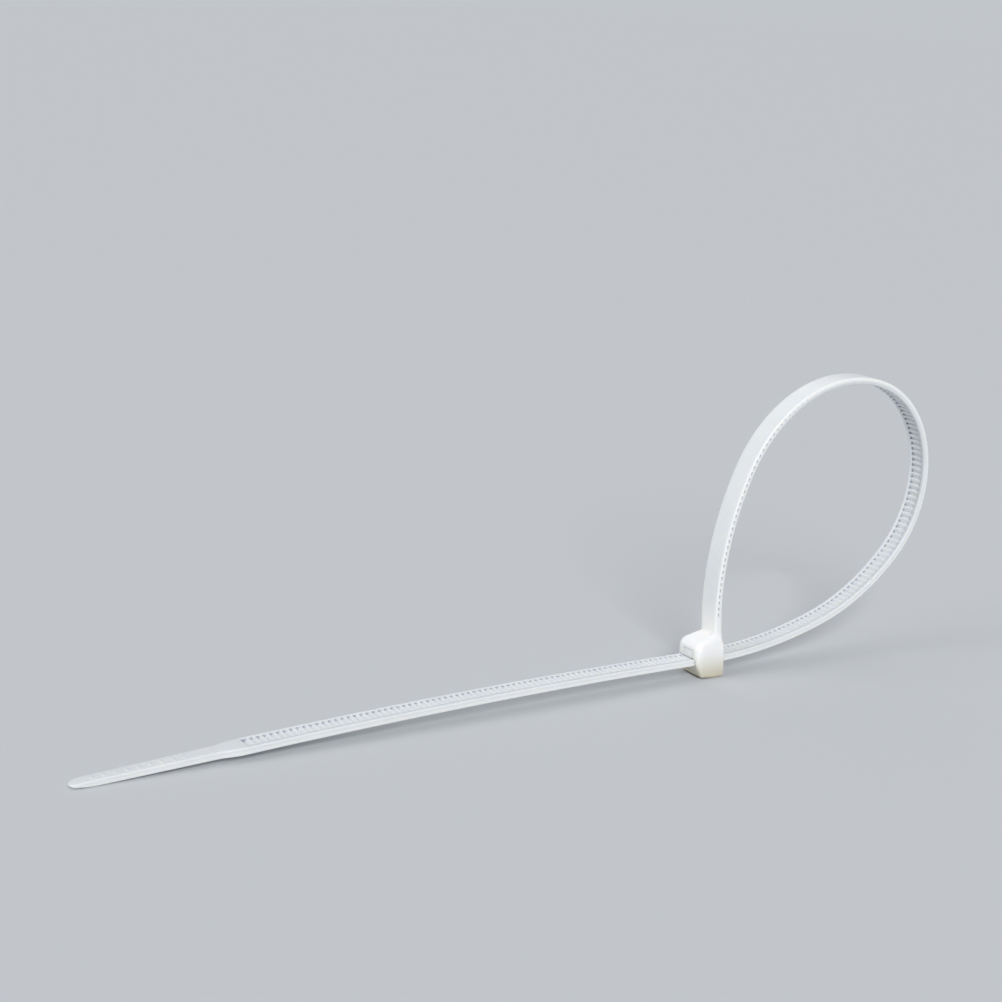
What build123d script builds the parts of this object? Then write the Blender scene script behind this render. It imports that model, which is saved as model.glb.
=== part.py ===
from build123d import *
import os
from math import acos, cos, hypot, radians, sin, tan

os.makedirs("parts", exist_ok=True)

# Cable tie, moulded in one piece of nylon and closed into an upright teardrop loop.
# It stands on the foot of its head and on the tip of its tail, both on z = 0.
# X runs along the tail towards the loop, Y across the strap, Z up. Millimetres.

# Strap
STRAP_W = 3.5
STRAP_T = 1.05
EDGE_R = 0.16
RAIL_W = 0.6
TOOTH_PITCH = 1.0
TOOTH_ROOT = 0.46
TOOTH_CREST = 0.08
TOOTH_RISE = 0.10
TOOTH_LAND = 0.32
TOOTH_FOOT = 0.82
FIRST_TOOTH = 3.4
LAST_TOOTH = 219.0

# Lie of the strap: each arc turns clockwise seen from -Y, starting inside the head
ROOT_X = -0.78
ROOT_Z = 6.01
ROOT_HEADING = 99.8
ROOT_R = 47.9
ROOT_TURN = 33.1
CROWN_TURN = 85.7
BUNDLE_R = 17.525
SEAT_TURN = 114.0
LOWER_TURN = 30.0
RUN_IN_R = 78.0
RUN_IN_TURN = 17.5
SLOT_IN_X = -1.98
SLOT_IN_Z = 2.716
SLOT_RUN = 9.2
TAIL_R = 1288.0
TAIL_TURN = 3.15
TIP_RUN = 25.0

# Tip
TIP_W = 2.5
TIP_END_W = 2.0
TIP_END_T = 0.84
SHOULDER_START = 1.4
SHOULDER_RUN = 3.6
RIB_PITCH = 1.6
RIB_H = 0.1
RIB_W = 0.5
RIBS = 9

# Head
SIDE_WALL = 0.95
EXIT_WALL = 0.55
ENTRY_X = 0.48
EXIT_X = -5.15
HEAD_TOP_Z = 6.72
SLOT_SIDE_GAP = 0.1
SLOT_FLOOR_GAP = 0.1
SLOT_ROOF_GAP = 0.15
MOUTH_FLARE = 0.3

# Pawl
PAWL_SIDE_GAP = 0.15
CHAMBER_SIDE_GAP = 0.45
CHAMBER_FRONT_X = -1.0
CHAMBER_H = 2.08
PAWL_GAP = 0.09


# ---------------------------------------------------------------- centreline
# The widths follow from the strap and the walls beside it
CHANNEL_W = STRAP_W - 2 * RAIL_W
HEAD_W = STRAP_W + 2 * SIDE_WALL
HEAD_EXIT_W = STRAP_W + 2 * EXIT_WALL
HEAD_TOP_W = STRAP_W + 0.2
PAWL_W = CHANNEL_W - 2 * PAWL_SIDE_GAP
CHAMBER_W = PAWL_W + 2 * CHAMBER_SIDE_GAP

# The crown and the lower side take the radii that bring the strap back to the slot
SEAT_R = BUNDLE_R + STRAP_T / 2
headings = [ROOT_HEADING]
for turn in (ROOT_TURN, CROWN_TURN, SEAT_TURN, LOWER_TURN, RUN_IN_TURN):
    headings.append(headings[-1] - turn)
steps = []
for a, b in zip(headings, headings[1:]):
    steps.append((sin(radians(a)) - sin(radians(b)), cos(radians(b)) - cos(radians(a))))
known = ((ROOT_R, steps[0]), (SEAT_R, steps[2]), (RUN_IN_R, steps[4]))
left_x = SLOT_IN_X - ROOT_X - sum(r * step[0] for r, step in known)
left_z = SLOT_IN_Z - ROOT_Z - sum(r * step[1] for r, step in known)
cross = steps[1][0] * steps[3][1] - steps[3][0] * steps[1][1]
CROWN_R = (left_x * steps[3][1] - steps[3][0] * left_z) / cross
LOWER_R = (steps[1][0] * left_z - left_x * steps[1][1]) / cross
RUNS = [
    (ROOT_R, ROOT_TURN),
    (CROWN_R, CROWN_TURN),
    (SEAT_R, SEAT_TURN),
    (LOWER_R, LOWER_TURN),
    (RUN_IN_R, RUN_IN_TURN),
    (None, SLOT_RUN),
    (-TAIL_R, TAIL_TURN),
    (None, TIP_RUN),
]


def lay_out():
    """Each run of the centreline: start distance, length, point, heading, signed radius."""
    laid = []
    s = 0.0
    x = ROOT_X
    z = ROOT_Z
    heading = radians(ROOT_HEADING)
    for radius, amount in RUNS:
        length = amount if radius is None else abs(radius) * radians(amount)
        laid.append((s, length, x, z, heading, radius))
        if radius is None:
            x += length * cos(heading)
            z += length * sin(heading)
        else:
            turned = heading - length / radius
            x += radius * (sin(heading) - sin(turned))
            z -= radius * (cos(heading) - cos(turned))
            heading = turned
        s += length
    return laid


LAID = lay_out()
STRAP_LENGTH = LAID[-1][0] + LAID[-1][1]


def station(s, inward=0.0):
    """Point and heading at distance s along the centreline, moved inward (towards the teeth)."""
    run = [r for r in LAID if r[0] <= s + 1e-9][-1]
    start, length, x, z, heading, radius = run
    d = s - start
    if radius is None:
        x += d * cos(heading)
        z += d * sin(heading)
    else:
        turned = heading - d / radius
        x += radius * (sin(heading) - sin(turned))
        z -= radius * (cos(heading) - cos(turned))
        heading = turned
    return x + inward * sin(heading), z - inward * cos(heading), heading


def edge_line(s0, s1, inward):
    """Edges of the line that keeps a fixed offset from the centreline between two distances."""
    edges = []
    for start, length, x, z, heading, radius in LAID:
        a = max(s0, start)
        b = min(s1, start + length)
        if b - a < 1e-6:
            continue
        p = station(a, inward)[:2]
        q = station(b, inward)[:2]
        if radius is None:
            edges.append(Line(p, q))
        else:
            edges.append(ThreePointArc(p, station((a + b) / 2, inward)[:2], q))
    return edges


def band(s0, s1, low, high, width):
    """Strap solid between two offsets and two distances, centred on y = 0."""
    upper = [station(s, low)[:2] for s in (s0, s1)]
    lower = [station(s, high)[:2] for s in (s0, s1)]
    edges = edge_line(s0, s1, low) + edge_line(s0, s1, high)
    edges += [Line(upper[0], lower[0]), Line(upper[1], lower[1])]
    return side_prism(make_face(edges), width)


def side_prism(face, width):
    """A face drawn as x, z and pushed width / 2 to each side of y = 0."""
    return Plane.XZ * extrude(face, amount=width / 2, both=True)


def rounded(corners):
    """Closed outline through (x, y, radius) corners, each corner a tangent arc."""
    edges = []
    ends = []
    n = len(corners)
    for i in range(n):
        px, py, _ = corners[i - 1]
        x, y, r = corners[i]
        qx, qy, _ = corners[(i + 1) % n]
        ax, ay = (px - x) / hypot(px - x, py - y), (py - y) / hypot(px - x, py - y)
        bx, by = (qx - x) / hypot(qx - x, qy - y), (qy - y) / hypot(qx - x, qy - y)
        half = acos(max(-1.0, min(1.0, ax * bx + ay * by))) / 2
        back = r / tan(half)
        first = (x + back * ax, y + back * ay)
        last = (x + back * bx, y + back * by)
        if r > 0:
            mx, my = ax + bx, ay + by
            reach = (r / sin(half) - r) / hypot(mx, my)
            edges.append(ThreePointArc(first, (x + reach * mx, y + reach * my), last))
        ends.append((first, last))
    for i in range(n):
        edges.append(Line(ends[i][1], ends[(i + 1) % n][0]))
    return make_face(edges)


# ---------------------------------------------------------------- strap
TIP_START = STRAP_LENGTH - TIP_RUN
strap = band(0.0, TIP_START, -STRAP_T / 2, STRAP_T / 2, STRAP_W)

# The comb is the space between the teeth: each tooth is steep towards the head and
# slopes away towards the tip, so the tail feeds in freely and locks when pulled back.
root_line = STRAP_T / 2 - TOOTH_ROOT
crest_line = STRAP_T / 2 - TOOTH_CREST
teeth = int((LAST_TOOTH - FIRST_TOOTH) / TOOTH_PITCH)
comb = [station(FIRST_TOOTH - 0.4, root_line)[:2]]
for i in range(teeth):
    s = FIRST_TOOTH + i * TOOTH_PITCH
    comb.append(station(s, root_line)[:2])
    comb.append(station(s + TOOTH_RISE, crest_line)[:2])
    comb.append(station(s + TOOTH_LAND, crest_line)[:2])
    comb.append(station(s + TOOTH_FOOT, root_line)[:2])
comb_end = FIRST_TOOTH + teeth * TOOTH_PITCH + 0.4
comb.append(station(comb_end, root_line)[:2])
above = [station(comb_end, STRAP_T)[:2]]
steps = 120
for i in range(1, steps):
    above.append(station(comb_end + (FIRST_TOOTH - 0.4 - comb_end) * i / steps, STRAP_T)[:2])
above.append(station(FIRST_TOOTH - 0.4, STRAP_T)[:2])
comb_face = make_face(Polyline(*(comb + above), close=True))

long_edges = [e for e in strap.edges() if e.length > 3 and abs(e.center().Y) > STRAP_W / 2 - 0.01]
strap = fillet(long_edges, EDGE_R)
strap = strap - side_prism(comb_face, CHANNEL_W)

# ---------------------------------------------------------------- tip
tip_x, tip_z, tip_heading = station(TIP_START)
half = STRAP_W / 2
end_half = TIP_END_W / 2
plan = rounded([
    (0.0, half, 0.0),
    (SHOULDER_START, half, 3.0),
    (SHOULDER_START + SHOULDER_RUN, TIP_W / 2, 6.0),
    (TIP_RUN, end_half, end_half * 0.95),
    (TIP_RUN, -end_half, end_half * 0.95),
    (SHOULDER_START + SHOULDER_RUN, -TIP_W / 2, 6.0),
    (SHOULDER_START, -half, 3.0),
    (0.0, -half, 0.0),
])
side = rounded([
    (0.0, STRAP_T / 2, 0.0),
    (TIP_RUN - 2.0, TIP_END_T / 2 + 0.02, 3.0),
    (TIP_RUN, TIP_END_T / 2 - 0.16, 0.22),
    (TIP_RUN, 0.2 - TIP_END_T / 2, 0.2),
    (TIP_RUN - 3.4, -TIP_END_T / 2 - 0.02, 8.0),
    (0.0, -STRAP_T / 2, 0.0),
])
# In the tip's own frame x runs to the end, y across and z towards the toothed side
tip = extrude(plan, amount=2, both=True) & side_prism(side, STRAP_W + 1)
for i in range(RIBS):
    x = TIP_RUN - 3.0 - i * RIB_PITCH
    top = STRAP_T / 2 + (TIP_END_T / 2 + 0.02 - STRAP_T / 2) * x / TIP_RUN
    rib_half = TIP_W / 2 - 0.45
    rib = rounded([
        (x - RIB_W / 2, top - 0.1, 0.0),
        (x - RIB_W / 4, top + RIB_H, 0.06),
        (x + RIB_W / 4, top + RIB_H, 0.06),
        (x + RIB_W / 2, top - 0.1, 0.0),
    ])
    tip = tip + side_prism(rib, 2 * rib_half)
tip_plane = Plane(
    origin=(tip_x, 0, tip_z),
    x_dir=(cos(tip_heading), 0, sin(tip_heading)),
    z_dir=(sin(tip_heading), 0, -cos(tip_heading)),
)
tip = tip_plane * tip

# ---------------------------------------------------------------- head
profile = rounded([
    (-1.6, 0.0, 2.0),
    (ENTRY_X + 0.03, 0.0, 0.6),
    (ENTRY_X - 0.47, 5.5, 0.8),
    (-0.26, HEAD_TOP_Z, 0.0),
    (-1.58, HEAD_TOP_Z, 0.0),
    (-4.55, 5.88, 0.5),
    (EXIT_X, 5.2, 0.4),
    (EXIT_X + 0.1, 2.72, 0.8),
    (-4.08, 0.33, 0.45),
])
outline_top = rounded([
    (EXIT_X - 0.3, HEAD_EXIT_W / 2, 0.0),
    (EXIT_X - 0.3, -HEAD_EXIT_W / 2, 0.0),
    (ENTRY_X + 0.1, -HEAD_W / 2, 0.35),
    (ENTRY_X + 0.1, HEAD_W / 2, 0.35),
])
outline_front = rounded([
    (-HEAD_W / 2, -0.1, 0.0),
    (HEAD_W / 2, -0.1, 0.0),
    (HEAD_W / 2, 4.85, 0.7),
    (HEAD_TOP_W / 2, HEAD_TOP_Z, 0.3),
    (HEAD_TOP_W / 2, HEAD_TOP_Z + 0.3, 0.0),
    (-HEAD_TOP_W / 2, HEAD_TOP_Z + 0.3, 0.0),
    (-HEAD_TOP_W / 2, HEAD_TOP_Z, 0.3),
    (-HEAD_W / 2, 4.85, 0.7),
])
head = side_prism(profile, HEAD_W + 1)
head = head & extrude(outline_top, amount=HEAD_TOP_Z + 1, both=True)
head = head & (Plane.YZ * extrude(outline_front, amount=8, both=True))

# Slot for the tail, with a flared mouth on the entry side
slot_x, slot_z, _ = station(LAID[5][0])
floor_z = slot_z - STRAP_T / 2 - SLOT_FLOOR_GAP
roof_z = slot_z + STRAP_T / 2 + SLOT_ROOF_GAP
slot_half = STRAP_W / 2 + SLOT_SIDE_GAP
slot = side_prism(make_face(Polyline(
    (EXIT_X - 1, floor_z),
    (ENTRY_X - 0.9, floor_z),
    (ENTRY_X + 0.2, floor_z - MOUTH_FLARE / 2),
    (ENTRY_X + 0.2, roof_z + 2 * MOUTH_FLARE),
    (ENTRY_X - 1.1, roof_z),
    (EXIT_X - 1, roof_z),
    close=True,
)), 2 * slot_half)
chamber = side_prism(make_face(Polyline(
    (EXIT_X - 1, roof_z - 0.1),
    (CHAMBER_FRONT_X, roof_z - 0.1),
    (CHAMBER_FRONT_X, slot_z + CHAMBER_H),
    (EXIT_X - 1, slot_z + CHAMBER_H - 0.35),
    close=True,
)), CHAMBER_W)
head = head - slot - chamber

# Pawl: a tongue hinged on the entry wall that reaches towards the exit, its teeth
# standing in the gaps of the strap with a small clearance all round.
gap_z = slot_z + root_line
pawl = side_prism(rounded([
    (CHAMBER_FRONT_X + 0.2, slot_z + 1.9, 0.0),
    (CHAMBER_FRONT_X - 0.6, slot_z + 1.55, 0.3),
    (EXIT_X + 0.95, slot_z + 1.4, 0.3),
    (EXIT_X + 0.55, gap_z + 0.75, 0.2),
    (EXIT_X + 0.85, gap_z + PAWL_GAP, 0.05),
    (CHAMBER_FRONT_X - 1.35, gap_z + PAWL_GAP, 0.05),
    (CHAMBER_FRONT_X - 0.75, slot_z + 0.96, 0.3),
    (CHAMBER_FRONT_X + 0.2, slot_z + 1.14, 0.0),
]), PAWL_W)
for i in range(teeth):
    s = FIRST_TOOTH + i * TOOTH_PITCH
    x, gap, _ = station(s, root_line)
    if s < LAID[4][0] or not EXIT_X - 1 < x < ENTRY_X + 1:
        continue
    crest = station(s, crest_line)[1]
    pawl = pawl - side_prism(make_face(Polyline(
        (x + PAWL_GAP, gap - 0.3),
        (x + PAWL_GAP, gap + 0.05),
        (x + PAWL_GAP - TOOTH_RISE, crest + PAWL_GAP),
        (x - TOOTH_LAND - PAWL_GAP / 2, crest + PAWL_GAP),
        (x - TOOTH_FOOT - PAWL_GAP / 2, gap + PAWL_GAP),
        (x - TOOTH_FOOT - PAWL_GAP / 2, gap - 0.3),
        close=True,
    )), PAWL_W + 1)
head = head + pawl

# ---------------------------------------------------------------- whole tie
cable_tie = strap + tip
cable_tie = cable_tie + head
box = cable_tie.bounding_box()
cable_tie = Pos(-(box.min.X + box.max.X) / 2, 0, 0) * cable_tie
cable_tie.label = "cable_tie"
export_step(cable_tie, "parts/cable_tie.step")
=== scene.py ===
"""Cable tie of natural nylon, closed into a loop: strap, head and pawl with their finishes."""

import math

import bpy
import numpy as np
from bpy.props import FloatProperty, IntProperty, StringProperty
from mathutils import Matrix, Vector
from mathutils.kdtree import KDTree


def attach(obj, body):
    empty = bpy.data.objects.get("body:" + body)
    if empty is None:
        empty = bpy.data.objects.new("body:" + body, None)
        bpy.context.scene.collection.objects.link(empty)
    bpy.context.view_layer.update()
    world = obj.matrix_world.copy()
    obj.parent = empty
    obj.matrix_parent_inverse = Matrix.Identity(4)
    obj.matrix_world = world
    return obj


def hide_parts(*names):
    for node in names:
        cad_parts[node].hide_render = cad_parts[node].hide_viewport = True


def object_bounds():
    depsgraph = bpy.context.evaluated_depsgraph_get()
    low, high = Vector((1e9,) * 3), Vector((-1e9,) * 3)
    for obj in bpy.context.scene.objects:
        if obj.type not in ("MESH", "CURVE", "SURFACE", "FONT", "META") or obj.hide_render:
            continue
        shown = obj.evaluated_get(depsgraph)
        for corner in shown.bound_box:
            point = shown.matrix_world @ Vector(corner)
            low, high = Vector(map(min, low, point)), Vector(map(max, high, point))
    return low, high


bl_info = {
    "name": "Cable Tie",
    "version": (1, 0, 0),
    "blender": (4, 5, 0),
    "location": "View3D > Sidebar > Cable Tie",
    "description": "Builds a nylon cable tie closed into a loop around the packed frame",
    "category": "Object",
}

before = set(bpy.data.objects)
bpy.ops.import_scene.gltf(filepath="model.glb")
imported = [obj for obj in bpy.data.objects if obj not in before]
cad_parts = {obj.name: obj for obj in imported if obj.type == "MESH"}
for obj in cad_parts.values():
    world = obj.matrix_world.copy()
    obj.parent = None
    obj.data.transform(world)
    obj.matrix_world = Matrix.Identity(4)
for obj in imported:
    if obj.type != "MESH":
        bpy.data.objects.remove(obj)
CAD_LOW, CAD_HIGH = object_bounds()

MM = 0.001
NODE = "cable_tie"
BODY = "root"
SHARES = ("web", "gap", "head")
SHARP_ANGLE = 40.0


# ------------------------------------------------------------------ sizes and colours
def length(name, description, default, low, high):
    """A size in millimetres with its limits."""
    return FloatProperty(name=name, description=description, default=default, min=low, max=high)


def colour(name, description, default):
    """A colour as sRGB hex."""
    return StringProperty(name=name, description=description, default=default)


class StrapSizes(bpy.types.PropertyGroup):
    """Sizes of the strap, in millimetres."""

    width: length("Width", "Across the strap", 3.5, 2.0, 9.0)
    thickness: length("Thickness", "Through the rails", 1.05, 0.6, 2.0)
    rail: length("Rail", "Width of each flat rail beside the teeth", 0.6, 0.3, 1.5)
    edge: length("Edge", "Radius of the long outer edges", 0.17, 0.02, 0.4)
    pitch: length("Pitch", "From one tooth to the next", 1.0, 0.5, 2.0)
    root_depth: length("Root depth", "Gap floor below the rails", 0.46, 0.1, 0.8)
    crest_depth: length("Crest depth", "Tooth top below the rails", 0.08, 0.0, 0.4)
    root_swell: length("Root swell", "Extra height of the toothed side at the head", 0.3, 0.0, 0.6)
    tip_width: length("Tip width", "Width of the tip behind its end", 2.5, 1.0, 6.0)
    tip_end_width: length("Tip end width", "Width of the tip at its end", 2.0, 1.0, 6.0)
    tip_end_thickness: length("Tip end thickness", "Thickness at the tip's end", 0.88, 0.3, 2.0)


class HeadSizes(bpy.types.PropertyGroup):
    """Sizes of the head, in millimetres."""

    entry_width: length("Entry width", "Across the head at its entry face", 5.35, 3.0, 12.0)
    exit_width: length("Exit width", "Across the head at its exit face", 5.15, 3.0, 12.0)
    top_width: length("Top width", "Across the head where the strap leaves it", 3.7, 2.0, 12.0)
    edge: length("Edge", "Radius of the moulded side edges", 0.45, 0.05, 1.0)
    slot_side: length("Slot side gap", "Beside the strap in the slot", 0.1, 0.02, 0.5)
    voxel: length("Skin step", "Step of the skin drawn over the head", 0.086, 0.03, 0.3)
    soften: IntProperty(
        name="Soften",
        description="Rounds of smoothing that leave the moulded radius",
        default=8,
        min=0,
        max=40,
    )


class NylonLook(bpy.types.PropertyGroup):
    """Colours of the natural nylon and of the stage."""

    milky: colour("Milky nylon", "Sides and head", "F9F9F6")
    # Cool grey of the thin web: partly the thin wall's own tone, partly painted shade
    thin: colour("Thin nylon", "Cooler web of the strap", "E4E7E9")
    # Painted shade low in the head, darker towards the foot, with the warmer tone of thick nylon
    thick: colour("Thick nylon", "Warmer colour low in the thick head", "CFC8B2")
    # Painted shade in the tooth gaps, faintly over the toothed face and as dashes on the sides
    gap: colour("Tooth gap", "Cool shade in the gaps between the teeth", "858EA2")
    floor: colour("Floor", "Colour of the floor", "CBCED1")
    backdrop: colour("Backdrop", "Colour beyond the floor, as the lit floor looks", "C2C6CA")


# ------------------------------------------------------------------ lie of the strap
ROOT_POINT = (-0.78, 6.01)
ROOT_HEADING = 99.8
SEAT_RADIUS = 17.525
RUNS = (
    ("root", 47.9, 33.1),
    ("crown", 21.798, 85.7),
    ("seat", None, 114.0),
    ("lower", 34.998, 30.0),
    ("run in", 78.0, 17.5),
    ("slot", 0.0, 9.2),
    ("tail", -1288.0, 3.15),
    ("tip", 0.0, 25.0),
)
FIRST_TOOTH = 3.4
LAST_TOOTH = 219.0
TOOTH_MARKS = (0.0, 0.1, 0.32, 0.57, 0.82)
TOOTH_FALL = (1.0, 0.0, 0.0, 0.5, 1.0)
TIP_RUN = 25.0
SHOULDER = (1.4, 5.0)
# Rounding of the tip's end seen from above and from the side, and where its faces meet
TIP_ROUND = 1.15
NOSE_ROUND = 0.45
NOSE_LEVEL = 0.02
# Towards the end the toothed face falls and the smooth one rises: by how much, over what
TOP_FALL, TOP_FALL_RUN = 0.18, 2.2
LOW_RISE, LOW_RISE_RUN = 0.24, 3.8
# Share and reach of the two fades that make up the swell at the head
SWELL_NEAR, SWELL_NEAR_RUN = 0.6, 7.0
SWELL_FAR, SWELL_FAR_RUN = 0.4, 26.0
# Grip ribs of the tip: the last one's distance from the end, pitch, height and flank
LAST_RIB = 3.0
RIB_PITCH = 1.6
RIB_HEIGHT = 0.1
RIB_FLANK = 0.16
RIB_REACH = 1.6
RIBS_FROM, RIBS_END = 8.4, 2.6
# Dashes of painted gap shade on the strap's sides run until here, then fade over the next stretch
DASHES_TO, DASHES_FADE = 30.0, 18.0
PARTING_LINE, PARTING_END = 0.022, 1.0
CHANNEL_LIP = 0.05
# The web's colour, its own tone with painted shade, fades in over this stretch from the head
CLEAR_WEB_FROM, CLEAR_WEB_RUN = 0.6, 7.0
BARE_END = 0.4
NOSE_STATIONS = 1.4


def lay_out(thickness):
    """Runs of the centreline as arrays: start, x, z, heading and clockwise curvature."""
    rows = []
    s, (x, z), heading = 0.0, ROOT_POINT, math.radians(ROOT_HEADING)
    for _, radius, amount in RUNS:
        radius = SEAT_RADIUS + thickness / 2 if radius is None else radius
        curve = 1 / radius if radius else 0.0
        length = abs(radius) * math.radians(amount) if radius else amount
        rows.append((s, x, z, heading, curve))
        turned = heading - curve * length
        if curve:
            x += (math.sin(heading) - math.sin(turned)) / curve
            z += (math.cos(turned) - math.cos(heading)) / curve
        else:
            x += length * math.cos(heading)
            z += length * math.sin(heading)
        heading = turned
        s += length
    return np.array(rows).T, s


def along(s, thickness):
    """Centreline point and heading at distances s: arcs and straight runs joined tangent."""
    (start, x0, z0, h0, curve), _ = lay_out(thickness)
    i = np.clip(np.searchsorted(start, s, side="right") - 1, 0, len(start) - 1)
    d = s - start[i]
    k = curve[i]
    h = h0[i] - k * d
    safe = np.where(k == 0, 1.0, k)
    x = x0[i] + np.where(k == 0, d * np.cos(h0[i]), (np.sin(h0[i]) - np.sin(h)) / safe)
    z = z0[i] + np.where(k == 0, d * np.sin(h0[i]), (np.cos(h) - np.cos(h0[i])) / safe)
    return x, z, h


def frame_shift(thickness):
    """Distance along X from the strap's own layout to the frame, from the CAD box."""
    (_, x0, _, h0, _), _ = lay_out(thickness)
    radius = SEAT_RADIUS + thickness / 2
    centre = x0[2] + radius * math.sin(h0[2])
    return CAD_HIGH.x / MM - (centre + radius + thickness / 2)


def ease(t):
    """Smooth step from 0 to 1."""
    t = np.clip(t, 0.0, 1.0)
    return t * t * (3 - 2 * t)


# ------------------------------------------------------------------ mesh helpers
def grid_faces(rows, columns, close_rows=False, close_columns=True):
    """Quads of a grid of points, rows x columns, as index rows."""
    r = np.arange(rows if close_rows else rows - 1)
    c = np.arange(columns if close_columns else columns - 1)
    r, c = np.meshgrid(r, c, indexing="ij")
    r2, c2 = (r + 1) % rows, (c + 1) % columns
    corners = [r * columns + c, r * columns + c2, r2 * columns + c2, r2 * columns + c]
    return np.stack(corners, -1).reshape(-1, 4)


def mesh_object(name, points, faces):
    """Mesh object from points in millimetres and a list of faces."""
    mesh = bpy.data.meshes.new(name)
    mesh.from_pydata((points * MM).tolist(), [], [list(map(int, f)) for f in faces])
    mesh.validate()
    made = bpy.data.objects.new(name, mesh)
    bpy.context.scene.collection.objects.link(made)
    return made


def tube_with_poles(name, rings):
    """Closed skin over rings (n, m, 3): the first and last ring each close on their middle."""
    n, m, _ = rings.shape
    points = np.concatenate([rings.reshape(-1, 3), rings[0].mean(0)[None], rings[-1].mean(0)[None]])
    faces = grid_faces(n, m).tolist()
    ring = np.arange(m)
    after = (ring + 1) % m
    first = np.stack([after, ring, np.full(m, n * m)], -1)
    last = np.stack([ring + (n - 1) * m, after + (n - 1) * m, np.full(m, n * m + 1)], -1)
    return mesh_object(name, points, faces + first.tolist() + last.tolist())


def vertex_places(made):
    """Vertices of a mesh object as rows of x, y, z in metres."""
    co = np.empty(len(made.data.vertices) * 3, dtype=np.float32)
    made.data.vertices.foreach_get("co", co)
    return co.reshape(-1, 3)


def outward(made):
    """Turns the faces outwards when the signed volume is negative."""
    mesh = made.data
    mesh.calc_loop_triangles()
    co = vertex_places(made).astype(float)
    tri = np.empty(len(mesh.loop_triangles) * 3, dtype=np.int64)
    mesh.loop_triangles.foreach_get("vertices", tri)
    a, b, c = (co[tri.reshape(-1, 3)[:, i]] for i in range(3))
    if np.einsum("ij,ij->i", a, np.cross(b, c)).sum() < 0:
        mesh.flip_normals()


def combine(made, tool, kind):
    """Adds an exact Boolean with a tool, to be baked with the other modifiers."""
    step = made.modifiers.new(tool.name, "BOOLEAN")
    step.operation = kind
    step.solver = "EXACT"
    step.object = tool


def remove(made):
    """Removes an object together with its mesh."""
    mesh = made.data
    bpy.data.objects.remove(made)
    bpy.data.meshes.remove(mesh)


def bake_modifiers(made):
    """Replaces the mesh by the one its modifiers give."""
    shown = made.evaluated_get(bpy.context.evaluated_depsgraph_get())
    mesh = bpy.data.meshes.new_from_object(shown)
    made.modifiers.clear()
    old = made.data
    made.data = mesh
    mesh.name = old.name
    bpy.data.meshes.remove(old)


def set_shares(made, **shares):
    """Writes the shares of web, gap and head that the nylon reads, 0 where not given."""
    layers = made.data.attributes
    for name in SHARES:
        layer = layers.get(name) or layers.new(name, "FLOAT", "POINT")
        values = np.broadcast_to(shares.get(name, 0.0), len(made.data.vertices))
        layer.data.foreach_set("value", values.astype(np.float32))


def finish_piece(made, material):
    """Shading, material, body and the CAD node that the piece stands for."""
    made.data.shade_smooth()
    made.data.set_sharp_from_angle(angle=math.radians(SHARP_ANGLE))
    made.data.materials.clear()
    made.data.materials.append(material)
    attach(made, BODY)
    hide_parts(NODE)


# ------------------------------------------------------------------ materials
def linear(text):
    """sRGB hex to linear colour with alpha 1."""
    values = [int(text[i : i + 2], 16) / 255 for i in (0, 2, 4)]
    bent = [v / 12.92 if v <= 0.04045 else ((v + 0.055) / 1.055) ** 2.4 for v in values]
    return tuple(bent) + (1.0,)


def add(tree, kind, settings=None, **links):
    """Adds a node: settings go to its fields or sockets, links join other nodes' sockets to it."""
    node = tree.nodes.new(kind)
    for key, value in (settings or {}).items():
        if isinstance(key, str) and hasattr(node, key):
            setattr(node, key, value)
        else:
            node.inputs[key].default_value = value
    for key, source in links.items():
        socket = int(key[1:]) if key[1:].isdigit() else key.replace("_", " ")
        tree.links.new(source, node.inputs[socket])
    return node


# Heights between which the head's painted shade (darker, warmer) comes in, from none to all of it
FOOT_SHADE_TOP, FOOT_SHADE_FOOT = 4.9, -0.4


def new_material(name):
    """Empty node material with an output, and its tree."""
    made = bpy.data.materials.new(name)
    made.use_nodes = True
    made.node_tree.nodes.clear()
    return made, made.node_tree


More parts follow.
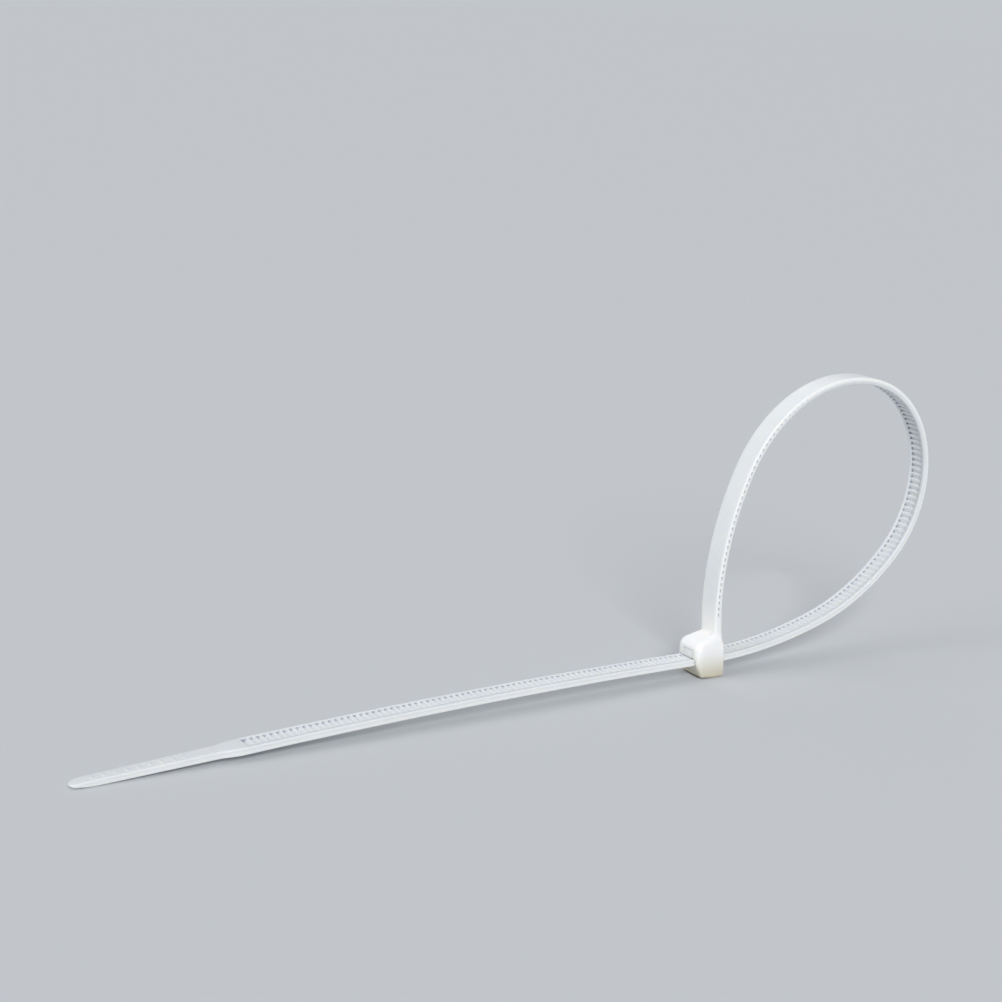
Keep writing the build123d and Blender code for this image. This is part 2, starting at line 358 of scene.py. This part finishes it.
def nylon():
    """Natural polyamide 66, injection moulded and left uncoloured.

    Milky and translucent: light enters and scatters over about a millimetre. The colour
    carries painted shade as well: a cooler grey on the strap's flat faces, partly the thin
    wall's own tone and partly painted shade; painted shade low in the head, darker and
    warmer towards the foot, with the warmer tone of thick nylon; and painted shade in and
    around the tooth gaps. Satin skin from the tool, with faint clouds where the melt cooled
    slower. The mesh says where: its shares are web for the thin nylon's tone and painted
    shade, gap for the painted shade between and beside the teeth and head for the block
    that takes the painted shade at its foot.
    """
    name = "natural_polyamide_66_moulded"
    if name in bpy.data.materials:
        return bpy.data.materials[name]
    look = bpy.context.scene.tie_look
    made, tree = new_material(name)
    place = add(tree, "ShaderNodeTexCoord").outputs["Object"]
    clouds = add(tree, "ShaderNodeTexNoise", {"Scale": 1 / (5.0 * MM), "Detail": 3.0}, Vector=place)
    cloud = add(
        tree,
        "ShaderNodeMapRange",
        {"From Min": 0.35, "From Max": 0.65, "To Min": 0.82, "To Max": 1.0},
        Value=clouds.outputs["Fac"],
    )
    web, gap, head = (
        add(tree, "ShaderNodeAttribute", {"attribute_name": name}).outputs["Fac"] for name in SHARES
    )
    height = add(tree, "ShaderNodeSeparateXYZ", _0=place)
    # Painted shade on the head: darker and warmer towards the foot
    low = add(
        tree,
        "ShaderNodeMapRange",
        {"interpolation_type": "SMOOTHSTEP", "From Min": FOOT_SHADE_TOP * MM, "From Max": FOOT_SHADE_FOOT * MM},
        Value=height.outputs["Z"],
    )
    share = {"operation": "MULTIPLY"}
    thin = add(tree, "ShaderNodeMath", share, _0=web, _1=cloud.outputs["Result"])
    thick = add(tree, "ShaderNodeMath", share, _0=head, _1=low.outputs["Result"])
    body = add(
        tree,
        "ShaderNodeMix",
        {"data_type": "RGBA", 6: linear(look.milky), 7: linear(look.thin)},
        _0=thin.outputs[0],
    )
    for amount, colour in ((thick.outputs[0], look.thick), (gap, look.gap)):
        body = add(
            tree,
            "ShaderNodeMix",
            {"data_type": "RGBA", 7: linear(colour)},
            _0=amount,
            _6=body.outputs[2],
        )
    # Fine grain of the tool at 0.22 mm, and the slower waves of the melt's flow at 2.5 mm
    grain = add(tree, "ShaderNodeTexNoise", {"Scale": 1 / (0.22 * MM), "Detail": 2.0}, Vector=place)
    flow = add(tree, "ShaderNodeTexNoise", {"Scale": 1 / (2.5 * MM), "Detail": 2.0}, Vector=place)
    rough = add(
        tree, "ShaderNodeMapRange", {"To Min": 0.3, "To Max": 0.46}, Value=flow.outputs["Fac"]
    )
    fine = add(
        tree,
        "ShaderNodeBump",
        {"Strength": 0.25, "Distance": 0.02 * MM},
        Height=grain.outputs["Fac"],
    )
    waves = add(
        tree,
        "ShaderNodeBump",
        {"Strength": 0.4, "Distance": 0.04 * MM},
        Height=flow.outputs["Fac"],
        Normal=fine.outputs["Normal"],
    )
    shader = add(
        tree,
        "ShaderNodeBsdfPrincipled",
        {
            "IOR": 1.53,
            "Subsurface Weight": 0.85,
            "Subsurface Radius": (1.0, 0.92, 0.8),
            "Subsurface Scale": 0.9 * MM,
        },
        Base_Color=body.outputs[2],
        Roughness=rough.outputs["Result"],
        Normal=waves.outputs["Normal"],
    )
    add(tree, "ShaderNodeOutputMaterial", Surface=shader.outputs["BSDF"])
    return made


# ------------------------------------------------------------------ strap
def strap_stations(pitch, total):
    """Distances along the strap: every tooth's marks, and a fine step at the tip."""
    teeth = int((LAST_TOOTH - FIRST_TOOTH) / pitch)
    starts = FIRST_TOOTH + pitch * np.arange(teeth)
    marks = (starts[:, None] + pitch * np.array(TOOTH_MARKS)).ravel()
    last = starts[-1] + pitch
    head_end = np.linspace(0.0, FIRST_TOOTH - BARE_END, 31)
    nose = np.sin(np.linspace(0, math.pi / 2, 26)[:-1])
    tip = np.concatenate(
        [np.arange(last, total - NOSE_STATIONS, 0.12), total - NOSE_STATIONS * (1 - nose)]
    )
    return np.concatenate([head_end, [FIRST_TOOTH - 0.38], marks, [last, last + 0.38], tip + 0.42])


def tooth_depth(s, sizes):
    """Depth of the channel floor below the rails at distances s: steep rise, land, long slope."""
    teeth = int((LAST_TOOTH - FIRST_TOOTH) / sizes.pitch)
    end = FIRST_TOOTH + teeth * sizes.pitch
    phase = np.mod((s - FIRST_TOOTH) / sizes.pitch + 1e-9, 1.0)
    fall = np.interp(phase, TOOTH_MARKS + (1.0,), TOOTH_FALL + (1.0,))
    depth = sizes.crest_depth + (sizes.root_depth - sizes.crest_depth) * fall
    depth = np.where((s < FIRST_TOOTH) | (s >= end - 1e-6), sizes.root_depth, depth)
    return np.where((s < FIRST_TOOTH - 0.39) | (s > end + 0.39), 0.0, depth)


class TIE_OT_strap(bpy.types.Operator):
    """Strap, teeth and tip as one skin: a section carried along the strap's centreline"""

    bl_idname = "tie.strap"
    bl_label = "Strap"

    def execute(self, context):
        """Section points (y, n) at each distance s, n towards the teeth.

        x = cx(s) + n sin h(s), z = cz(s) - n cos h(s): outer face, rounded edge, side with
        its parting line, rounded edge, rail, channel wall, floor at the tooth's height.
        """
        sizes = context.scene.tie_strap
        total = lay_out(sizes.thickness)[1]
        s = strap_stations(sizes.pitch, total)
        s = np.unique(np.round(s[s <= total - 1e-3], 5))
        x, z, h = along(s, sizes.thickness)
        t = s - (total - TIP_RUN)

        full = sizes.width / 2
        narrow = sizes.tip_width / 2
        end = sizes.tip_end_width / 2
        neck = full + (narrow - full) * ease((t - SHOULDER[0]) / (SHOULDER[1] - SHOULDER[0]))
        taper = narrow + (end - narrow) * (t - SHOULDER[1]) / (TIP_RUN - SHOULDER[1])
        half = np.where(t < SHOULDER[1], neck, taper)
        left = np.clip((TIP_RUN - t) / TIP_ROUND, 0.0, 1.0)
        half = half * np.sqrt(np.clip(1 - (1 - left) ** 2, 0.0004, 1.0))

        swell = sizes.root_swell * (
            SWELL_NEAR * (1 - ease(s / SWELL_NEAR_RUN)) + SWELL_FAR * (1 - ease(s / SWELL_FAR_RUN))
        )
        thin = np.clip(t / TIP_RUN, 0.0, 1.0)
        level = sizes.thickness / 2 + (sizes.tip_end_thickness / 2 - sizes.thickness / 2) * thin
        into_nose = 1 - np.clip((TIP_RUN - t) / NOSE_ROUND, 0.0, 1.0)
        nose = np.sqrt(np.clip(1 - into_nose**2, 0.001, 1.0))
        fall = TOP_FALL * ease((t - TIP_RUN + TOP_FALL_RUN) / TOP_FALL_RUN)
        rise = LOW_RISE * ease((t - TIP_RUN + LOW_RISE_RUN) / LOW_RISE_RUN)
        top = (level + swell - fall) * nose + NOSE_LEVEL * (1 - nose)
        low = -(level + 0.15 * swell - rise) * nose + NOSE_LEVEL * (1 - nose)

        depth = tooth_depth(s, sizes)
        lip = np.where(depth > 0, CHANNEL_LIP, 0.0)
        channel = np.minimum(full - sizes.rail, half * 0.66)
        edge = np.minimum(sizes.edge, np.minimum((top - low) * 0.42, half * 0.3))
        rim = np.minimum(0.02, half * 0.05)
        inner_edge = edge * 0.75
        seam = np.where(t < TIP_RUN - PARTING_END, PARTING_LINE, 0.0)
        rib_phase = np.mod((TIP_RUN - LAST_RIB - t) / RIB_PITCH + 0.5, 1.0) - 0.5
        rib = RIB_HEIGHT * ease(RIB_REACH - np.abs(rib_phase) * RIB_PITCH / RIB_FLANK)
        rib = rib * (t > RIBS_FROM) * (t < TIP_RUN - RIBS_END)

        # Each ring point: y, n, share of thin web (own tone and painted shade), share of painted
        # gap shade (in the tooth gaps, faintly over the toothed face and as dashes on the sides)
        gap = (depth - sizes.crest_depth) / (sizes.root_depth - sizes.crest_depth)
        gap = np.where((s > FIRST_TOOTH) & (s < LAST_TOOTH), np.clip(gap, 0.0, 1.0), 0.0)
        # Painted shade on the sides: gap dashes near the head, giving way to web shade beyond
        beside = ease((s - DASHES_TO) / DASHES_FADE)
        first = 0.7 * ease(gap) * (1 - beside)
        thick = top - low
        quarter = np.linspace(0.0, math.pi / 2, 5)
        # Outer face: the web's tone and painted shade, paler towards its rounded edges
        outer_arc = [
            (half - edge * (1 - np.sin(a)), low + edge * (1 - np.cos(a)), 0.9 - 0.4 * a, 0.0)
            for a in quarter
        ]
        # Edge into the toothed face: painted web and gap shade further from the head
        inner_arc = [
            (
                half - inner_edge * (1 - np.cos(a)),
                top - inner_edge * (1 - np.sin(a)),
                0.9 * beside + 0.06 * a,
                0.1 * beside + 0.02 * a,
            )
            for a in quarter
        ]
        # Side: dashes of painted gap shade near the head, painted web shade further on
        side = [
            (half, low + 0.24 * thick, 0.0, 0.0),
            (half, low + 0.34 * thick, 0.1 * beside, first),
            (half + seam * 0.6, low + 0.46 * thick, 0.4 * beside, first + 0.03 * beside),
            (half + seam, low + 0.51 * thick, 0.5 * beside, 0.3 * first + 0.04 * beside),
            (half, low + 0.6 * thick, 0.85 * beside, 0.09 * beside),
        ]
        zero = np.zeros_like(s)
        # Toothed face: faint painted shade all over, darkest on the channel walls in the gaps
        deck = [
            (channel + lip + rim, top, 1.0, 0.13),
            (channel, top - lip, 1.0, 0.12 + 0.48 * gap),
            (channel - 0.002, top - depth, 1.0, 0.12 + 0.53 * gap),
            (channel * 0.93, top - depth, 1.0, 0.12 + 0.06 * gap),
            (channel * 0.5, top - depth + rib, 1.0, 0.1),
        ]
        outer = [
            (half * 0.5, low, 1.0, 0.0),
            (np.maximum(half - 0.32, half * 0.6), low, 1.0, 0.0),
        ]
        plus = outer + outer_arc + side + inner_arc + deck
        ring = [(zero, low, 1.0, 0.0)] + plus + [(zero, top - depth + rib, 1.0, 0.1)]
        ring += [(-p[0],) + p[1:] for p in reversed(plus)]
        y, n, web, shade = (np.stack([p[k] + zero for p in ring], 1) for k in range(4))
        # The web's tone and painted shade fade out towards the head
        web = web * ease((s - CLEAR_WEB_FROM) / CLEAR_WEB_RUN)[:, None]

        shift = frame_shift(sizes.thickness)
        px = x[:, None] + n * np.sin(h)[:, None] + shift
        pz = z[:, None] - n * np.cos(h)[:, None]
        rings = np.stack([px, y, pz], -1)
        made = tube_with_poles("strap", rings)
        outward(made)

        poles = [0.0, 0.0]
        set_shares(made, web=np.append(web.ravel(), poles), gap=np.append(shade.ravel(), poles))
        return {"FINISHED"}


# ------------------------------------------------------------------ head and pawl
HEAD_OUTLINE = (
    (-1.6, 0.0, 2.0),
    (0.51, 0.0, 0.6),
    (0.01, 5.5, 0.8),
    (-0.26, 6.72, 0.25),
    (-1.58, 6.72, 0.25),
    (-4.65, 5.95, 0.7),
    (-5.4, 5.2, 0.6),
    (-5.32, 2.72, 0.8),
    (-4.1, 0.28, 0.4),
)
SLOT_IN = (-1.98, 2.716)
EXIT_X = -5.4
ENTRY_X = 0.51
EXIT_CORNER = 1.2
HEAD_TOP = 6.72
HEAD_MIDDLE = (-2.4, 3.2)
HEAD_REACH = 2.9
INNER_RINGS = (0.25, 0.5, 0.62, 0.72, 0.78, 0.83, 0.87)
CORNER_SHARE = 0.6
SHOULDER_POWER = 0.75
SLOT_FLOOR_GAP = 0.06
SLOT_ROOF_GAP = 0.08
CHAMBER_ROOM = (2.02, 1.76)
BLOCK_ROUNDNESS = 0.3
# Where strap and head meet: middle of the softened corner, full and fading reach, from
# which height it comes in and over what, steps of its weight, rounds of smoothing
ROOT_CORNER = (-0.9, 7.0)
ROOT_REACH, ROOT_FADE = 1.2, 1.3
ROOT_FROM, ROOT_RISE = 5.6, 0.6
ROOT_STEPS = 8
ROOT_ROUNDS = 14
SAME_PLACE = 0.001
PAWL_EDGE = 0.04
SHOULDER_HEIGHT = 2.0
CHAMBER_HALF = 1.15
PAWL_HALF = 1.125
# Sections of the strap's root: distance along it, half width, outer and inner reach
ROOT_BLOCK = (
    (-0.9, 2.0, -0.8, 0.95),
    (0.5, 1.86, -0.64, 0.9),
    (1.0, 1.78, -0.59, 0.85),
    (1.5, 1.72, -0.5, 0.72),
    (2.3, 1.6, -0.4, 0.5),
)
PAWL_OUTLINE = (
    (-0.75, 1.95, 0.05),
    (-1.6, 1.96, 0.2),
    (-5.33, 1.77, 0.12),
    (-5.33, 0.57, 0.1),
    (-4.45, 0.56, 0.05),
    (-4.3, 0.16, 0.05),
    (-3.98, 0.56, 0.05),
    (-3.45, 0.56, 0.05),
    (-3.3, 0.16, 0.05),
    (-2.98, 0.6, 0.05),
    (-2.5, 0.62, 0.1),
    (-1.75, 0.96, 0.3),
    (-0.75, 1.14, 0.05),
)


def rounded(corners, steps=7):
    """Outline through (x, z, radius) corners, each corner replaced by a tangent arc."""
    points = np.array([c[:2] for c in corners])
    radius = np.array([c[2] for c in corners])[:, None]
    before = np.roll(points, 1, 0) - points
    after = np.roll(points, -1, 0) - points
    before /= np.linalg.norm(before, axis=1)[:, None]
    after /= np.linalg.norm(after, axis=1)[:, None]
    half = np.arccos(np.clip((before * after).sum(1), -1, 1))[:, None] / 2
    bisector = before + after
    bisector /= np.linalg.norm(bisector, axis=1)[:, None]
    centre = points + bisector * radius / np.sin(half)
    first = points + before * radius / np.tan(half) - centre
    last = points + after * radius / np.tan(half) - centre
    t = np.linspace(0, 1, steps)[None, :, None]
    angle = math.pi - 2 * half[:, :, None]
    arc = np.sin((1 - t) * angle) * first[:, None] + np.sin(t * angle) * last[:, None]
    return (centre[:, None] + arc / np.sin(angle)).reshape(-1, 2)


def resample(outline, count):
    """Closed outline as count points at equal distances."""
    closed = np.vstack([outline, outline[:1]])
    length = np.concatenate([[0], np.cumsum(np.hypot(*np.diff(closed, axis=0).T))])
    at = np.linspace(0, length[-1], count, endpoint=False)
    return np.stack([np.interp(at, length, closed[:, i]) for i in (0, 1)], -1)


def inset(outline, amount):
    """Closed outline moved inwards by amount along its own normals."""
    step = np.roll(outline, -1, 0) - np.roll(outline, 1, 0)
    step /= np.linalg.norm(step, axis=1)[:, None]
    turns = np.cross(outline - outline.mean(0), step).sum()
    inwards = math.copysign(1.0, turns) * np.stack([-step[:, 1], step[:, 0]], -1)
    return outline + amount * inwards


def prism(name, outline, low, high, edge=0.0):
    """Outline (x, z) carried from y = low to y = high and closed at both ends.

    With an edge radius e the outline is drawn in by e * (1 - sin a) while y moves
    e * (1 - cos a) from the end plane, for a from 0 to a quarter turn.
    """
    a = np.linspace(0.0, math.pi / 2, 4) if edge else np.array([math.pi / 2])
    drawn = edge * (1 - np.sin(a))
    rise = edge * (1 - np.cos(a)) if edge else np.zeros(1)
    y = np.concatenate([low + rise, (high - rise)[::-1]])
    drawn = np.concatenate([drawn, drawn[::-1]])
    rings = np.stack([np.insert(inset(outline, d), 1, at, axis=1) for d, at in zip(drawn, y)])
    rows, n, _ = rings.shape
    ends = [list(range(n))[::-1], list(range((rows - 1) * n, rows * n))]
    faces = grid_faces(rows, n).tolist() + ends
    made = mesh_object(name, rings.reshape(-1, 3), faces)
    outward(made)
    return made


def head_block(sizes, shift):
    """Solid head: its side outline carried across in rings.

    At each step the outline shrinks towards its middle by edge * (1 - sin a) while
    y = half width - edge * (1 - cos a), and the half width follows the taper from entry
    to exit, the round exit corners and the slope up to the strap.
    """
    outline = resample(rounded(HEAD_OUTLINE), 160)
    middle = np.array(HEAD_MIDDLE)
    a = np.linspace(0.0, math.pi / 2, 7)
    scale = np.concatenate([INNER_RINGS, 1 - sizes.edge * (1 - np.sin(a)) / HEAD_REACH])
    scale = np.sort(scale)
    drop = np.concatenate([np.zeros(len(scale) - 7), sizes.edge * (np.cos(a) - 1)])
    near = np.stack([scale, drop, -np.ones_like(scale)], 1)
    far = np.stack([scale, drop, np.ones_like(scale)], 1)[::-1]
    rows = np.concatenate([near, far])
    ring = middle + (outline - middle)[None] * rows[:, :1, None]
    across = (ring[..., 0] - EXIT_X) / (ENTRY_X - EXIT_X)
    half = (sizes.exit_width + (sizes.entry_width - sizes.exit_width) * across) / 2
    corner = np.clip(1 - (ring[..., 0] - EXIT_X) / EXIT_CORNER, 0, 1)
    half = half - CORNER_SHARE * EXIT_CORNER * (1 - np.sqrt(1 - corner**2))
    lift = np.clip((HEAD_TOP - ring[..., 1]) / SHOULDER_HEIGHT, 0, 1)
    top = sizes.top_width / 2
    half = np.minimum(half, top + (half - top) * lift**SHOULDER_POWER)
    y = rows[:, 2:3] * (half + rows[:, 1:2])
    made = tube_with_poles("head", np.stack([ring[..., 0] + shift, y, ring[..., 1]], -1))
    outward(made)
    return made


def root_block(strap, shift):
    """Rounded sections that carry the head's top up into the strap and shrink inside it."""
    turn = np.linspace(0, 2 * math.pi, 40, endpoint=False)
    round_x = np.sign(np.cos(turn)) * np.abs(np.cos(turn)) ** BLOCK_ROUNDNESS
    round_y = np.sign(np.sin(turn)) * np.abs(np.sin(turn)) ** BLOCK_ROUNDNESS
    s, wide, low, high = np.array(ROOT_BLOCK).T
    x, z, h = along(s, strap.thickness)
    n = (low + high)[:, None] / 2 + (high - low)[:, None] / 2 * round_x
    px = x[:, None] + n * np.sin(h)[:, None] + shift
    pz = z[:, None] - n * np.cos(h)[:, None]
    made = tube_with_poles("root_block", np.stack([px, wide[:, None] * round_y, pz], -1))
    outward(made)
    return made


def join_to_strap(head, shift):
    """One moulding of strap and head, with the corner between them softened."""
    tie = bpy.data.objects["strap"]
    tie.name = "moulded_tie"
    strap_tree = KDTree(len(tie.data.vertices))
    for i, place in enumerate(vertex_places(tie).tolist()):
        strap_tree.insert(place, i)
    strap_tree.balance()
    combine(tie, head, "UNION")
    bake_modifiers(tie)
    remove(head)

    # The join mixes up the shares of the head, so they are written again: a vertex
    # that lies on none of the strap's own belongs to the head
    co = vertex_places(tie)
    apart = np.array([strap_tree.find(place)[2] for place in co.tolist()])
    of_head = apart > SAME_PLACE * MM
    kept = {}
    for name in ("web", "gap"):
        values = np.empty(len(co), dtype=np.float32)
        tie.data.attributes[name].data.foreach_get("value", values)
        kept[name] = np.where(of_head, 0.0, values)
    set_shares(tie, head=of_head, **kept)

    co = co / MM - (shift, 0, 0)
    away = np.hypot(co[:, 0] - ROOT_CORNER[0], co[:, 2] - ROOT_CORNER[1])
    near = 1 - ease((away - ROOT_REACH) / ROOT_FADE)
    near *= ease((co[:, 2] - ROOT_FROM) / ROOT_RISE)
    steps = np.ceil(near * ROOT_STEPS)
    group = tie.vertex_groups.new(name="root_corner")
    for step in np.unique(steps[steps > 0]):
        group.add(np.flatnonzero(steps == step).tolist(), float(step) / ROOT_STEPS, "REPLACE")
    soft = tie.modifiers.new("soften_root", "SMOOTH")
    soft.factor = 0.5
    soft.iterations = ROOT_ROUNDS
    soft.vertex_group = group.name
    bake_modifiers(tie)
    return tie


class TIE_OT_head(bpy.types.Operator):
    """Head with its slot and chamber, joined to the strap as one moulding"""

    bl_idname = "tie.head"
    bl_label = "Head"

    def execute(self, context):
        """Solid head and root block, less the slot and the chamber, under one soft skin."""
        sizes = context.scene.tie_head
        strap = context.scene.tie_strap
        shift = frame_shift(strap.thickness)
        head = head_block(sizes, shift)

        floor = SLOT_IN[1] - strap.thickness / 2 - SLOT_FLOOR_GAP
        roof = SLOT_IN[1] + strap.thickness / 2 + SLOT_ROOF_GAP
        room = SLOT_IN[1] + np.array(CHAMBER_ROOM)
        slot = [
            (-7.0, floor),
            (-0.42, floor),
            (0.68, floor - 0.15),
            (0.68, roof + 0.6),
            (-0.62, roof),
            (-7.0, roof),
        ]
        chamber = [(-7.0, roof - 0.1), (-1.0, roof - 0.1), (-1.0, room[0]), (-7.0, room[1])]
        slot_half = strap.width / 2 + sizes.slot_side
        slot = prism("slot_cut", np.array(slot) + (shift, 0), -slot_half, slot_half)
        chamber = np.array(chamber) + (shift, 0)
        chamber = prism("chamber_cut", chamber, -CHAMBER_HALF, CHAMBER_HALF)
        tools = [(root_block(strap, shift), "UNION"), (slot, "DIFFERENCE"), (chamber, "DIFFERENCE")]
        for tool, kind in tools:
            combine(head, tool, kind)
        bake_modifiers(head)
        for tool, _ in tools:
            remove(tool)
        skin = head.modifiers.new("skin", "REMESH")
        skin.mode = "VOXEL"
        skin.voxel_size = sizes.voxel * MM
        soft = head.modifiers.new("soften", "SMOOTH")
        soft.factor = 0.5
        soft.iterations = sizes.soften
        bake_modifiers(head)
        finish_piece(join_to_strap(head, shift), nylon())
        return {"FINISHED"}


class TIE_OT_pawl(bpy.types.Operator):
    """Pawl in its window, hinged on the entry wall, with its teeth in the strap's gaps"""

    bl_idname = "tie.pawl"
    bl_label = "Pawl"

    def execute(self, context):
        """Side outline (x, z) carried between two planes of y, with its edges rounded."""
        shift = frame_shift(context.scene.tie_strap.thickness)
        outline = rounded([(x, z + SLOT_IN[1], r) for x, z, r in PAWL_OUTLINE], 5)
        outline = resample(outline, 240) + (shift, 0)
        pawl = prism("pawl", outline, -PAWL_HALF, PAWL_HALF, PAWL_EDGE)
        # The pawl takes the head's painted shade, darker and warmer lower down
        set_shares(pawl, head=1.0)
        finish_piece(pawl, nylon())
        return {"FINISHED"}


# ------------------------------------------------------------------ stage
FLOOR_HALF = 60.0
# Distant soft lamps keep the light level even over the floor: azimuth, height, angle, strength
LAMPS = (
    ("lamp_front", 205.0, 36.0, 24.0, 1.824),
    ("lamp_left", 280.0, 32.0, 35.0, 0.741),
    ("lamp_back", 35.0, 50.0, 40.0, 0.3325),
)
SKY_COLOUR = (0.93, 0.96, 1.0, 1.0)
SKY_STRENGTH = 0.38
CAMERA_LENS = 66.49
CAMERA_PLACE = (-190.976, -203.759, 99.89)
CAMERA_TURN, CAMERA_TILT, CAMERA_ROLL = 35.871, 15.119, 4.739


class TIE_OT_stage(bpy.types.Operator):
    """Pale floor, soft lamps and the camera"""

    bl_idname = "tie.stage"
    bl_label = "Stage"

    def execute(self, context):
        """Flat floor at z = 0, three distant soft lamps, even sky light and one camera."""
        scene = context.scene
        look = scene.tie_look
        side = FLOOR_HALF
        corners = np.array([(-side, -side, 0), (side, -side, 0), (side, side, 0), (-side, side, 0)])
        floor = mesh_object("floor", corners / MM, [(0, 1, 2, 3)])
        # Matt paper: no gloss, a faint grain of 3 mm
        made, tree = new_material("matt_grey_paper")
        place = add(tree, "ShaderNodeTexCoord")
        grain = add(
            tree,
            "ShaderNodeTexNoise",
            {"Scale": 1 / (3.0 * MM), "Detail": 4.0},
            Vector=place.outputs["Object"],
        )
        bump = add(
            tree,
            "ShaderNodeBump",
            {"Strength": 0.1, "Distance": 0.05 * MM},
            Height=grain.outputs["Fac"],
        )
        shader = add(
            tree,
            "ShaderNodeBsdfPrincipled",
            {"Base Color": linear(look.floor), "Roughness": 0.9, "Specular IOR Level": 0.2},
            Normal=bump.outputs["Normal"],
        )
        add(tree, "ShaderNodeOutputMaterial", Surface=shader.outputs["BSDF"])
        floor.data.materials.append(made)

        for name, turn, height, spread, power in LAMPS:
            data = bpy.data.lights.new(name, "SUN")
            data.angle = math.radians(spread)
            data.energy = power
            lamp = bpy.data.objects.new(name, data)
            turn, height = math.radians(turn), math.radians(height)
            flat = math.cos(height)
            toward = Vector((math.sin(turn) * flat, math.cos(turn) * flat, math.sin(height)))
            lamp.rotation_euler = (-toward).to_track_quat("-Z", "Y").to_euler()
            scene.collection.objects.link(lamp)
        world = bpy.data.worlds.new("soft_grey")
        world.use_nodes = True
        tree = world.node_tree
        tree.nodes.clear()
        path = add(tree, "ShaderNodeLightPath")
        light = add(tree, "ShaderNodeBackground", {"Color": SKY_COLOUR, "Strength": SKY_STRENGTH})
        seen = add(tree, "ShaderNodeBackground", {"Color": linear(look.backdrop), "Strength": 1.0})
        either = add(
            tree,
            "ShaderNodeMixShader",
            _0=path.outputs["Is Camera Ray"],
            _1=light.outputs[0],
            _2=seen.outputs[0],
        )
        add(tree, "ShaderNodeOutputWorld", Surface=either.outputs[0])
        scene.world = world

        shift = frame_shift(scene.tie_strap.thickness)
        data = bpy.data.cameras.new("camera")
        data.sensor_width = 36.0
        data.lens = CAMERA_LENS
        data.clip_start = 0.01
        camera = bpy.data.objects.new("camera", data)
        turn, tilt, roll = (math.radians(v) for v in (CAMERA_TURN, CAMERA_TILT, CAMERA_ROLL))
        flat = math.cos(tilt)
        ahead = Vector((math.sin(turn) * flat, math.cos(turn) * flat, -math.sin(tilt)))
        level = Vector((math.cos(turn), -math.sin(turn), 0.0))
        right = level * math.cos(roll) + level.cross(ahead) * math.sin(roll)
        up = right.cross(ahead)
        basis = Matrix((right, up, -ahead)).transposed()
        x, y, z = CAMERA_PLACE
        place = Vector((x + shift, y, z)) * MM
        camera.matrix_world = Matrix.Translation(place) @ basis.to_4x4()
        scene.collection.objects.link(camera)
        scene.camera = camera
        scene.view_settings.view_transform = "Standard"
        return {"FINISHED"}


class TIE_PT_panel(bpy.types.Panel):
    """Lists the pieces of the cable tie and the stage"""

    bl_idname = "TIE_PT_panel"
    bl_label = "Cable Tie"
    bl_space_type = "VIEW_3D"
    bl_region_type = "UI"
    bl_category = "Cable Tie"

    def draw(self, context):
        """Sizes, then one button for each operator."""
        for group in (context.scene.tie_strap, context.scene.tie_head, context.scene.tie_look):
            box = self.layout.box()
            for key in group.__annotations__:
                box.prop(group, key)
        for operator in OPERATORS:
            self.layout.operator(operator.bl_idname)


OPERATORS = (TIE_OT_strap, TIE_OT_head, TIE_OT_pawl, TIE_OT_stage)
CLASSES = (StrapSizes, HeadSizes, NylonLook) + OPERATORS + (TIE_PT_panel,)


def register():
    """Registers the classes and the scene's size groups."""
    for cls in CLASSES:
        bpy.utils.register_class(cls)
    bpy.types.Scene.tie_strap = bpy.props.PointerProperty(type=StrapSizes)
    bpy.types.Scene.tie_head = bpy.props.PointerProperty(type=HeadSizes)
    bpy.types.Scene.tie_look = bpy.props.PointerProperty(type=NylonLook)


def unregister():
    """Removes what register added."""
    del bpy.types.Scene.tie_look
    del bpy.types.Scene.tie_head
    del bpy.types.Scene.tie_strap
    for cls in reversed(CLASSES):
        bpy.utils.unregister_class(cls)


def main():
    """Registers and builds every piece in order."""
    register()
    bpy.ops.tie.strap()
    bpy.ops.tie.head()
    bpy.ops.tie.pawl()
    bpy.ops.tie.stage()


if __name__ == "__main__":
    main()
